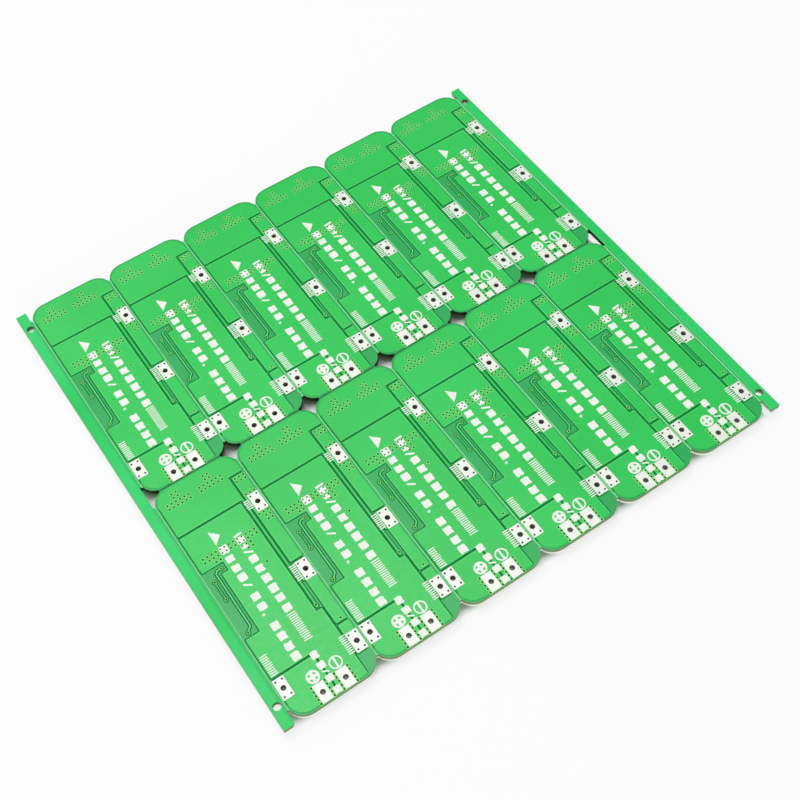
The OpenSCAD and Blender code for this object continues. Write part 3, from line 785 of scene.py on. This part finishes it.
TRACK_W, TRACK_T = 0.28, 0.035
SPLIT = 0.0004                              # between the faces of two tracks, so that none share a plane
TRACKS = [
    # From the chip's left leads to the small parts beside them
    [(5.6, 29.675), (5.2, 30.075), (5.2, 30.6), (4.8, 31.0)], [(5.6, 28.375), (5.15, 28.8), (4.8, 28.8)],
    [(5.6, 26.425), (4.8, 26.425)], [(5.6, 25.125), (5.3, 25.125), (4.6, 24.4)],
    # From those parts to the vias of the upper side's tracks, and to each other
    [(2.7, 31.0), (1.75, 31.95), (1.75, 34.0)], [(2.7, 28.8), (2.4, 28.8), (1.85, 29.35)],
    [(2.65, 26.4), (2.3, 26.05), (2.3, 24.55), (2.65, 24.2)], [(2.3, 24.6), (1.75, 24.05), (1.75, 21.3)],
    # From the chip's right leads to the small parts beside them
    [(12.2, 29.675), (12.75, 30.2), (13.2, 30.2)], [(12.2, 28.375), (12.6, 28.0), (13.2, 28.0)],
    [(12.2, 26.425), (12.8, 25.8), (13.2, 25.8)],
    [(12.2, 25.125), (12.55, 24.8), (12.55, 24.0), (12.95, 23.6), (13.2, 23.6)],
    # From those parts to vias and taps
    [(15.4, 30.2), (15.7, 30.5), (15.7, 31.6), (15.1, 32.2), (13.1, 32.2)],
    [(15.4, 25.8), (16.5, 25.8), (16.9, 26.2), (17.3, 26.2)],
    [(15.4, 23.6), (15.95, 23.05), (15.95, 18.7)], [(15.4, 28.0), (16.3, 28.9), (16.3, 33.2), (12.6, 36.9)],
    # Between the two parts below the chip, and up to the chip
    [(8.55, 20.6), (9.25, 20.6)], [(6.25, 20.6), (5.8, 21.05), (5.8, 22.9), (7.6, 24.7), (7.6, 25.4)],
    [(11.55, 20.6), (12.0, 21.05), (12.0, 23.6), (10.9, 24.7), (10.9, 25.4)],
    # Between the transistors and the parts that stand between them
    [(8.6, 49.2), (8.6, 44.9)], [(8.6, 51.6), (8.6, 52.5), (7.3, 52.5), (6.95, 52.85)],
    [(8.6, 42.5), (8.6, 41.6), (9.9, 41.6), (10.2, 41.3)],
    # From the chip to the end of the wide track of the upper side
    [(4.35, 36.0), (4.35, 33.4), (7.6, 30.15), (7.6, 29.4)],
]
tracks = Form()
for k, path in enumerate(TRACKS):
    tracks.slab(stroke(path, TRACK_W), Z_UNDER - TRACK_T - SPLIT * k, Z_UNDER + 0.01)
piece("underside_tracks", tracks, "track")

LEGEND_W = 0.14
legend = Form()


def legend_slab(outline):
    legend.slab(outline, Z_UNDER - PRINT_T, Z_UNDER + SINK)


def legend_line(a, b):
    legend_slab(stroke([a, b], LEGEND_W))


for side in (-1, 1):
    y = CHIP[1] + side * 2.72
    legend_line((CHIP[0] - 2.2, y), (CHIP[0] + 2.2, y))
    for x, y, along in SMALL_PARTS:
        if along:
            legend_line((x + side * 0.66, y - 0.32), (x + side * 0.66, y + 0.32))
        else:
            legend_line((x - 0.32, y + side * 0.66), (x + 0.32, y + side * 0.66))
    for x, y in FETS:
        legend_line((x + side * 2.66, y - 1.7), (x + side * 2.66, y + 1.7))
legend_line((SHUNT[0] - 1.85, SHUNT[1] - 1.4), (SHUNT[0] - 1.85, SHUNT[1] + 1.4))
legend_slab(circle(CHIP[0] - 2.95, CHIP[1] - 2.85, 0.17, 10))
piece("underside_print", legend, "print")

# ---- Pale rims that the scoring blade leaves in the mask ----

SCORE_HALF, RIM_W, RIM_T = 0.134, 0.045, 0.004
SCORE_END = 2.75                            # from a row's end, where the gap between round corners starts
rim = Form()
for i in range(COLUMNS + 1):
    for j in range(ROWS):
        y0, y1 = j * BOARD_L - HALF_L + SCORE_END, (j + 1) * BOARD_L - HALF_L - SCORE_END
        for side in (-1, 1):
            x0, x1 = sorted(i * BOARD_W - HALF_W + side * out for out in (SCORE_HALF, SCORE_HALF + RIM_W))
            for z in (Z_TOP, Z_UNDER):
                rim.slab(box(x0, y0, x1, y1), z - RIM_T, z + RIM_T)
piece("score_rims", rim, "score", WHOLE)

# ---- Floor, light and camera ----

FLOOR_HALF = 6.0                            # in metres
FLOOR_SHARE = 0.78                          # of the floor's colour that is backdrop, outside the panel
SHADE_X, SHADE_Y = (60.0, 60.6), (57.5, 59.2)   # where the panel's shade starts to fade and has ended
GLIMPSE = (0.6, -0.7)                       # middle of the painted pool of light on the floor under a gap, from the gap's middle
GLIMPSE_R, GLIMPSE_SHARE = (2.2, 0.9), 0.4  # radius where it starts and is full, and how lit it is


def stage_material():
    """Pale matt floor that goes over into the white backdrop, but is all shade under the panel, save for
    painted pools of light under the gaps.
    """
    mat, tree, bsdf = new_material("pale_floor")
    bsdf.inputs["Base Color"].default_value = (0.92, 0.92, 0.92, 1)
    bsdf.inputs["Roughness"].default_value = 0.8
    bsdf.inputs["Specular IOR Level"].default_value = 0.2
    glow = node(tree, "Emission", Color=(1, 1, 1, 1), Strength=1.0)
    path = node(tree, "LightPath")
    seen = math_node(tree, "MAXIMUM", path.outputs["Is Camera Ray"], path.outputs["Is Glossy Ray"])
    x, y, _ = parts(tree, coordinates(tree))
    outside = math_node(tree, "MAXIMUM", spread(tree, absolute(tree, x), *(edge * MM for edge in SHADE_X)),
                        spread(tree, absolute(tree, y), *(edge * MM for edge in SHADE_Y)))
    # Painted light: the floor glows for the camera where light falls through the gaps between round corners
    across = math_node(tree, "PINGPONG", minus(tree, x, GLIMPSE[0] * MM), BOARD_W / 2 * MM)
    far = distance(tree, across, minus(tree, y, GLIMPSE[1] * MM))
    lit = spread(tree, far, *(r * MM for r in GLIMPSE_R), 0.0, GLIMPSE_SHARE)
    share = times(tree, times(tree, seen, math_node(tree, "MAXIMUM", outside, lit)), FLOOR_SHARE)
    mix = node(tree, "MixShader", i0=share, i1=bsdf.outputs[0], i2=glow.outputs[0])
    output = next(part for part in tree.nodes if part.type == "OUTPUT_MATERIAL")
    tree.links.new(mix.outputs[0], output.inputs[0])
    return mat


def studio_world():
    """Soft light from all sides, and plain white where the camera or a reflection looks past the floor."""
    world = bpy.data.worlds.new("studio")
    bpy.context.scene.world = world
    world.use_nodes = True
    tree = world.node_tree
    tree.nodes.clear()
    ambient = node(tree, "Background", Color=(1, 1, 1, 1), Strength=0.42)
    backdrop = node(tree, "Background", Color=(1, 1, 1, 1), Strength=1.0)
    path = node(tree, "LightPath").outputs
    mirrored = math_node(tree, "MAXIMUM", path["Is Glossy Ray"], path["Is Transmission Ray"])
    seen = math_node(tree, "MAXIMUM", path["Is Camera Ray"], mirrored)
    mix = node(tree, "MixShader", i0=seen, i1=ambient.outputs[0], i2=backdrop.outputs[0])
    node(tree, "OutputWorld", i0=mix.outputs[0])


def lamp(name, place, size, power):
    """A square lamp that looks at the panel's middle."""
    light = bpy.data.lights.new(name, "AREA")
    light.shape = "SQUARE"
    light.size = size
    light.energy = power
    obj = bpy.data.objects.new(name, light)
    bpy.context.scene.collection.objects.link(obj)
    obj.location = place
    obj.rotation_euler = (-Vector(place)).to_track_quat("-Z", "Y").to_euler()


floor_mesh = bpy.data.meshes.new("floor")
corners = box(-FLOOR_HALF, -FLOOR_HALF, FLOOR_HALF, FLOOR_HALF)
floor_mesh.from_pydata([(x, y, 0) for x, y in corners], [], [(0, 1, 2, 3)])
floor_mesh.materials.append(stage_material())
floor = bpy.data.objects.new("floor", floor_mesh)
bpy.context.scene.collection.objects.link(floor)

studio_world()
lamp("left_softbox", (-0.52, 0.16, 0.76), 0.36, 1.5)
lamp("top_softbox", (0.00, 0.21, 0.92), 0.5, 2.9)
lamp("back_softbox", (-0.10, 0.75, 0.60), 0.4, 0.7)
lamp("front_fill", (-0.25, -0.90, 0.16), 0.4, 3.2)

CAMERA_PLACE = (-0.082594, -0.142696, 0.243112)
CAMERA_FORWARD = (0.27864, 0.46296, -0.84144)
CAMERA_RIGHT = (0.82600, -0.56252, -0.03597)    # the photograph is a little rolled
camera_data = bpy.data.cameras.new("camera")
camera_data.lens = 58.62
camera_data.sensor_width = 36.0
camera_data.clip_start = 0.01
camera_data.clip_end = 50
camera_data.dof.use_dof = False
camera = bpy.data.objects.new("camera", camera_data)
bpy.context.scene.collection.objects.link(camera)
forward = Vector(CAMERA_FORWARD).normalized()
right = Vector(CAMERA_RIGHT)
right = (right - forward * right.dot(forward)).normalized()
turn = Matrix((right, right.cross(forward), -forward)).transposed()
camera.matrix_world = Matrix.Translation(CAMERA_PLACE) @ turn.to_4x4()
bpy.context.scene.camera = camera
bpy.context.scene.view_settings.view_transform = "Standard"
